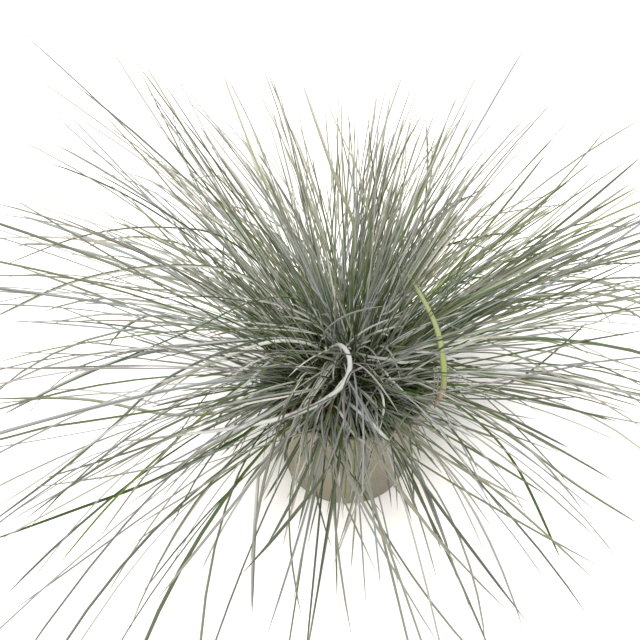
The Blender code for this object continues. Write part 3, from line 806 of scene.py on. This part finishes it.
CROSSING_RINGS, CROSSING_FOOT, CROSSING_WIDEST, CROSSING_TWIST = 30, 0.7, 0.2, 0.8
FROST, BLUE_FROST, MAUVE_FROST = (0.50, 0.485, 0.435), (0.45, 0.46, 0.445), (0.44, 0.41, 0.39)
CROSSING_LEAVES = (
    (2.3, (1.2, 0, 0), (-12, -8, 104), (-17, -19, 120), (-28, -27, 132), (-42, -31, 136), (-56, -34, 134),
     (-78, -38, 126), (-101, -40, 115), (-127, -43, 102)),
    (1.4, (1.1, 0.1, 0), (-3, -15, 116), (-13, -61, 137), (-23, -81, 134), (-28, -84, 124), (-33, -80, 106)),
    (1.4, (1.1, 0.1, 0), (-1, -17, 116), (-12, -63, 137), (-22, -83, 134), (-26, -86, 124), (-31, -82, 106)),
    (1.6, (1.5, 0, 0), (6, -12, 112), (12, -41, 134), (22, -54, 143), (28, -55, 142), (40, -44, 134)),
    (1.4, (1.1, 0.1, 0), (4, -25, 116), (3, -44, 148), (-1, -60, 172), (-4, -71, 188), (-7, -77, 200)),
    (1.6, (1.4, 0, 0), (0, -11, 116), (3, -23, 130), (6, -29, 138)),
    (1.2, (1.4, 0, 0), (4, -13, 118), (9, -24, 130), (13, -29, 136)),
    (1.4, (1.3, 0, 0.2), (11, 0, 114), (11, -17, 140), (12, -23, 152), (9, -25, 160)),
    (1.6, (1.4, 0, 0.1), (17, 13, 120), (20, -7, 138), (25, -21, 152), (30, -27, 166)),
    (1.3, (1.5, 0, 0), (20, 0, 116), (21, -15, 130), (24, -19, 132)),
    (1.7, (0.8, 0, 0), (7, -13, 110), (10, -49, 134), (15, -65, 140), (21, -69, 134)),
    (1.4, (1.2, 0, 0), (16, -19, 108), (19, -48, 130), (22, -65, 138), (31, -71, 132), (41, -68, 118)),
    (1.4, (1.2, 0, 0), (13, -22, 110), (5, -48, 130), (-1, -62, 138), (-8, -67, 132)),
    (1.4, (1.4, 0, 0.2), (15, -32, 106), (16, -60, 128), (17, -68, 132), (19, -67, 124)),
    (1.3, (1.1, 0, 0), (4, -37, 108), (8, -62, 126), (12, -67, 126), (19, -63, 112)),
    (1.7, (1.0, 0.3, 0), (7, -31, 106), (15, -58, 132), (24, -64, 138), (34, -58, 134)),
    (1.5, (1.2, 0, 0), (-17, -26, 106), (-24, -50, 128), (-28, -64, 132), (-35, -69, 120), (-39, -65, 108)),
    (1.4, (1.2, 0, 0), (-20, -30, 106), (-21, -53, 124), (-23, -62, 128), (-27, -61, 120)),
    (1.8, (1.0, 0, 0), (-43, -16, 114), (-50, -44, 126), (-58, -53, 122), (-68, -55, 114), (-80, -58, 104)),
    (1.4, (1.3, 0, 0), (-7, -33, 108), (-15, -60, 128), (-30, -73, 134), (-48, -72, 128), (-71, -66, 114)),
    (2.4, (1.1, 0, 0), (-29, -36, 102), (-34, -63, 120), (-46, -77, 122), (-58, -81, 116), (-80, -85, 102),
     (-104, -91, 84)),
    (1.4, (1.2, 0, 0), (-6, -47, 100), (-3, -68, 114), (0, -74, 112), (6, -71, 98)),
    (2.0, (1.3, 0, 0.2), (2, -48, 102), (7, -71, 118), (15, -85, 122), (25, -89, 112), (33, -88, 98)),
    (0.9, (1.2, 0.2, 0), (50, -48, 106), (45, -63, 130), (44, -65, 140), (44, -59, 144)),
    (0.9, (1.2, 0.4, 0), (52, -50, 106), (47, -64, 130), (46, -64, 139), (46, -58, 142)),
    (1.5, (1.2, 0, 0), (3, -50, 98), (11, -72, 112), (17, -83, 112), (26, -84, 96), (32, -82, 80)),
    (1.4, (1.1, 0, 0), (-10, -48, 96), (-4, -71, 106), (0, -79, 100), (3, -81, 80), (2, -82, 58)),
    (1.3, (1.1, 0.1, 0), (-15, -47, 96), (-17, -70, 104), (-21, -77, 94), (-29, -78, 70), (-37, -75, 46)),
    (1.2, (1.3, 0, 0), (-10, -51, 104), (-6, -80, 132), (1, -95, 132), (7, -91, 120), (13, -84, 104)),
    (1.7, (1.4, 0, 0), (-5, -48, 108), (1, -79, 134), (11, -95, 138), (19, -97, 128), (25, -92, 116)),
    (1.1, (1.3, 0, 0), (14, -37, 110), (16, -72, 136), (17, -83, 136), (16, -84, 120), (20, -79, 100)),
    (1.2, (1.3, 0, 0), (-12, -46, 106), (-15, -77, 128), (-19, -91, 120), (-20, -93, 98), (-20, -91, 70)),
    (1.3, (1.1, 0, 0.2), (-21, -45, 100), (-23, -86, 122), (-26, -94, 106), (-28, -93, 82)),
    (1.1, (0.1, 0.6, 0), (-2, -48, 104), (2, -88, 124), (3, -94, 108), (3, -95, 76)),
    (1.2, (0.1, 0.1, 0), (30, -40, 100), (31, -82, 118), (34, -87, 98), (38, -90, 66)),
    (1.0, (0.2, 0.9, 0), (-9, -47, 104), (-5, -89, 122), (-1, -93, 100), (-2, -96, 68)),
    (1.6, (0.9, 0, 0.1), (7, 12, 104), (-11, -29, 117), (-30, -68, 106), (-46, -110, 91)),
    (1.5, (0.8, 0, 0.1), (5, 9, 105), (-11, -39, 126), (-22, -60, 121), (-36, -84, 104), (-48, -102, 80)),
    (2.0, (0.9, 0, 0), (-13, -6, 102), (-31, -15, 125), (-98, -34, 133), (-141, -44, 127),
     (-182, -57, 112), (-202, -65, 104)),
    (1.5, (1.0, 0, 0.1), (2, -34, 91), (6, -73, 106), (5, -94, 100), (4, -110, 90), (2, -128, 66)),
    (1.2, (0.5, 0, 0.1), (-10, 0, 104), (-28, -4, 145), (-56, -13, 152), (-92, -31, 143), (-152, -57, 128),
     (-183, -70, 118)),
    (2.0, (0.9, 0, 0), (-15, -1, 102), (-50, -22, 130), (-99, -53, 128), (-128, -79, 113),
     (-151, -101, 102), (-180, -126, 91)),
    (1.9, (0.15, 0.1, 0), (-21, -26, 94), (-38, -52, 105), (-59, -72, 101), (-105, -95, 90),
     (-145, -109, 82), (-186, -125, 76)),
    (1.5, (0.8, 0, 0.1), (-16, -22, 97), (-36, -42, 108), (-71, -62, 105), (-112, -77, 96), (-172, -92, 83)),
    (1.8, (0.9, 0, 0), (-19, -24, 95), (-42, -48, 106), (-67, -58, 106), (-100, -65, 109),
     (-149, -63, 118), (-200, -67, 121)),
    (1.3, (0.15, 0.1, 0.3), (-15, -4, 102), (-38, -9, 126), (-104, -15, 130), (-180, -17, 118),
     (-235, -18, 103)),
    (1.3, (0.2, 1, 0), (-15, 1, 102), (-38, -23, 117), (-71, -55, 113), (-104, -87, 98), (-125, -109, 87),
     (-144, -136, 75)),
    (1.9, (0.25, 0, 0.9), (2, 1, 104), (2, 1, 159), (2, 13, 189), (-8, 24, 211), (-29, 52, 260)),
    (1.4, (0.25, 0, 0.7), (-4, -1, 104), (-16, 10, 153), (-35, 27, 176), (-72, 60, 205), (-104, 95, 231)),
    (1.3, (0.1, 0, 0.6), (6, -1, 104), (11, 8, 170), (8, 28, 205), (-9, 51, 236), (-17, 64, 252)),
    (1.3, (0.1, 0.1, 0.2), (16, 0, 102), (24, 14, 159), (37, 32, 181), (63, 63, 208), (84, 94, 233)),
    (1.3, (0.2, 0, 1.0), (18, -7, 101), (55, -9, 122), (126, 7, 121), (156, 16, 114), (205, 25, 97)),
    (1.3, (0.7, 0, 0), (24, -27, 88), (46, -41, 103), (66, -42, 107), (84, -39, 107), (113, -25, 112),
     (155, 7, 127)),
    (2.2, (0.75, 0, 0), (16, -3, 102), (47, -12, 135), (83, -5, 158), (127, 8, 179), (168, 21, 195)),
    (1.5, (0.1, 0.2, 0), (21, -26, 93), (50, -50, 113), (70, -65, 110), (90, -85, 96), (109, -120, 67)),
    (1.5, (0.7, 0, 0.1), (18, -18, 98), (51, -44, 111), (91, -67, 99), (125, -84, 81), (158, -99, 67)),
    (2.0, (0.9, 0, 0.1), (-12, 8, 102), (-60, 6, 155), (-110, 9, 163), (-170, 3, 155), (-230, -8, 132)),
    (1.4, (0.2, 0, 0.5), (-10, 10, 102), (-70, 26, 167), (-120, 40, 174), (-180, 43, 166), (-240, 30, 148)),
)

rng = np.random.default_rng(11)
frosted = leaf_finish("frosted leaf", silvers=(FROST, BLUE_FROST, MAUVE_FROST), green_to=0.1, dusk=0.1)
ways = np.array([smooth_way(np.array(leaf[2:]) / 1000, CROSSING_RINGS) for leaf in CROSSING_LEAVES])
along = np.linspace(0, 1, CROSSING_RINGS)
count = len(CROSSING_LEAVES)
width = np.array([leaf[0] for leaf in CROSSING_LEAVES])[:, None] / 1000
width = width * taper(along, CROSSING_FOOT, CROSSING_WIDEST)
roll = rng.uniform(0, 2 * np.pi, (count, 1)) + rng.normal(0, CROSSING_TWIST, (count, 1)) * along
points, faces = blades(ways, beside(ways), roll, width)
crossing = show("crossing_leaves", points, faces, frosted)
grown = np.array([leaf[1] for leaf in CROSSING_LEAVES], float)
describe_leaves(crossing.data, count, CROSSING_RINGS, grown, rng.uniform(0, 1, count))
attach(crossing, "root")

# Wisps: short pale leaves of the last year. They have grown from among the others, most of them at the
# front, and arch and curl over the crown.

WISPS = 80
WISP_LENGTHS, WISP_WIDTHS = (0.045, 0.11), (0.0009, 0.0018)
WISP_FOOT, WISP_WIDEST, WISP_TWIST = 0.6, 0.3, 1
WISP_LEANS, WISP_SIDE, WISP_SIDE_SPREAD, WISP_SCATTER = (2, 52), -95, 70, 0.22  # degrees, and a share
WISP_ASIDE, WISP_DOWN, WISP_WAVE = 8, (4, 15), 0.1
WISP_BENT_SHARE, WISP_BENDS, WISP_BEND_SPREAD = 0.15, (0.3, 0.8), 0.5
WISP_WAX, WISP_DRY = (1, 1.5), (-0.3, 0.5)

rng = np.random.default_rng(21)
lean = np.radians(rng.uniform(*WISP_LEANS, WISPS))
azimuth = np.radians(WISP_SIDE + rng.normal(0, WISP_SIDE_SPREAD, WISPS))
foot = CROWN_CENTRE + outward(lean, azimuth) * (CROWN_RADIUS - ROOTED)
start = unit(outward(lean, azimuth) + rng.normal(0, WISP_SCATTER, (WISPS, 3)))
paths, sideways = leaf_paths(
    foot,
    np.arccos(start[:, 2]),
    np.arctan2(start[:, 1], start[:, 0]),
    length=rng.uniform(*WISP_LENGTHS, WISPS),
    aside=rng.normal(0, WISP_ASIDE, WISPS),
    down=rng.uniform(*WISP_DOWN, WISPS),
    limp=np.zeros(WISPS),
    wave=rng.uniform(0, WISP_WAVE, WISPS),
    phase=rng.uniform(0, 2 * np.pi, WISPS),
    bend_at=rng.uniform(*WISP_BENDS, WISPS),
    bend_aside=rng.normal(0, WISP_BEND_SPREAD, WISPS) * (rng.uniform(0, 1, WISPS) < WISP_BENT_SHARE),
    bend_down=np.zeros(WISPS),
)
along = np.arange(LEAF_RINGS) / (LEAF_RINGS - 1)
roll = rng.uniform(0, 2 * np.pi, (WISPS, 1)) + rng.normal(0, WISP_TWIST, (WISPS, 1)) * along
width = rng.uniform(*WISP_WIDTHS, (WISPS, 1)) * taper(along, WISP_FOOT, WISP_WIDEST)
points, faces = blades(paths, sideways, roll, width)
wisps = show("crown_wisps", points, faces, frosted)
wax, dry = rng.uniform(*WISP_WAX, WISPS), rng.uniform(*WISP_DRY, WISPS).clip(0)
grown = np.stack((wax, np.zeros(WISPS), dry), axis=-1)
describe_leaves(wisps.data, WISPS, LEAF_RINGS, grown, rng.uniform(0, 1, WISPS))
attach(wisps, "root")

# Floor and light: the pot stands on a plain white sheet. Soft light comes from all round it, and a broad
# lamp shines from above, a little to the front.

FLOOR_SIDE, FLOOR_DROP = 12, 0.0002
SOFT_LIGHT, SUN_STRENGTH, SUN_SPREAD = 0.52, 5.35, np.radians(35)
SUN_TURN = Euler(np.radians((24, -6, 0)))  # from straight above, towards the viewer and a little to the left
FLOOR_WHITE = (0.92, 0.89, 0.86)

floor_mesh = bpy.data.meshes.new("floor")
floor_mesh.from_pydata([(x, y, -FLOOR_DROP) for x, y in FLOOR_SIDE * box_corners[:4, :2]], [], [(0, 1, 2, 3)])
floor = placed("floor", floor_mesh)
floor_mesh.materials.append(Nodes("white floor").surface(FLOOR_WHITE, 0.8))

world = bpy.data.worlds.new("studio")
world.use_nodes = True
world.node_tree.nodes["Background"].inputs["Color"].default_value = (1, 1, 1, 1)
world.node_tree.nodes["Background"].inputs["Strength"].default_value = SOFT_LIGHT
bpy.context.scene.world = world

lamp = placed("overhead light", bpy.data.lights.new("overhead light", "SUN"))
lamp.data.energy = SUN_STRENGTH
lamp.data.angle = SUN_SPREAD
lamp.matrix_world = SUN_TURN.to_matrix().to_4x4()
bpy.context.scene.view_settings.view_transform = "Standard"
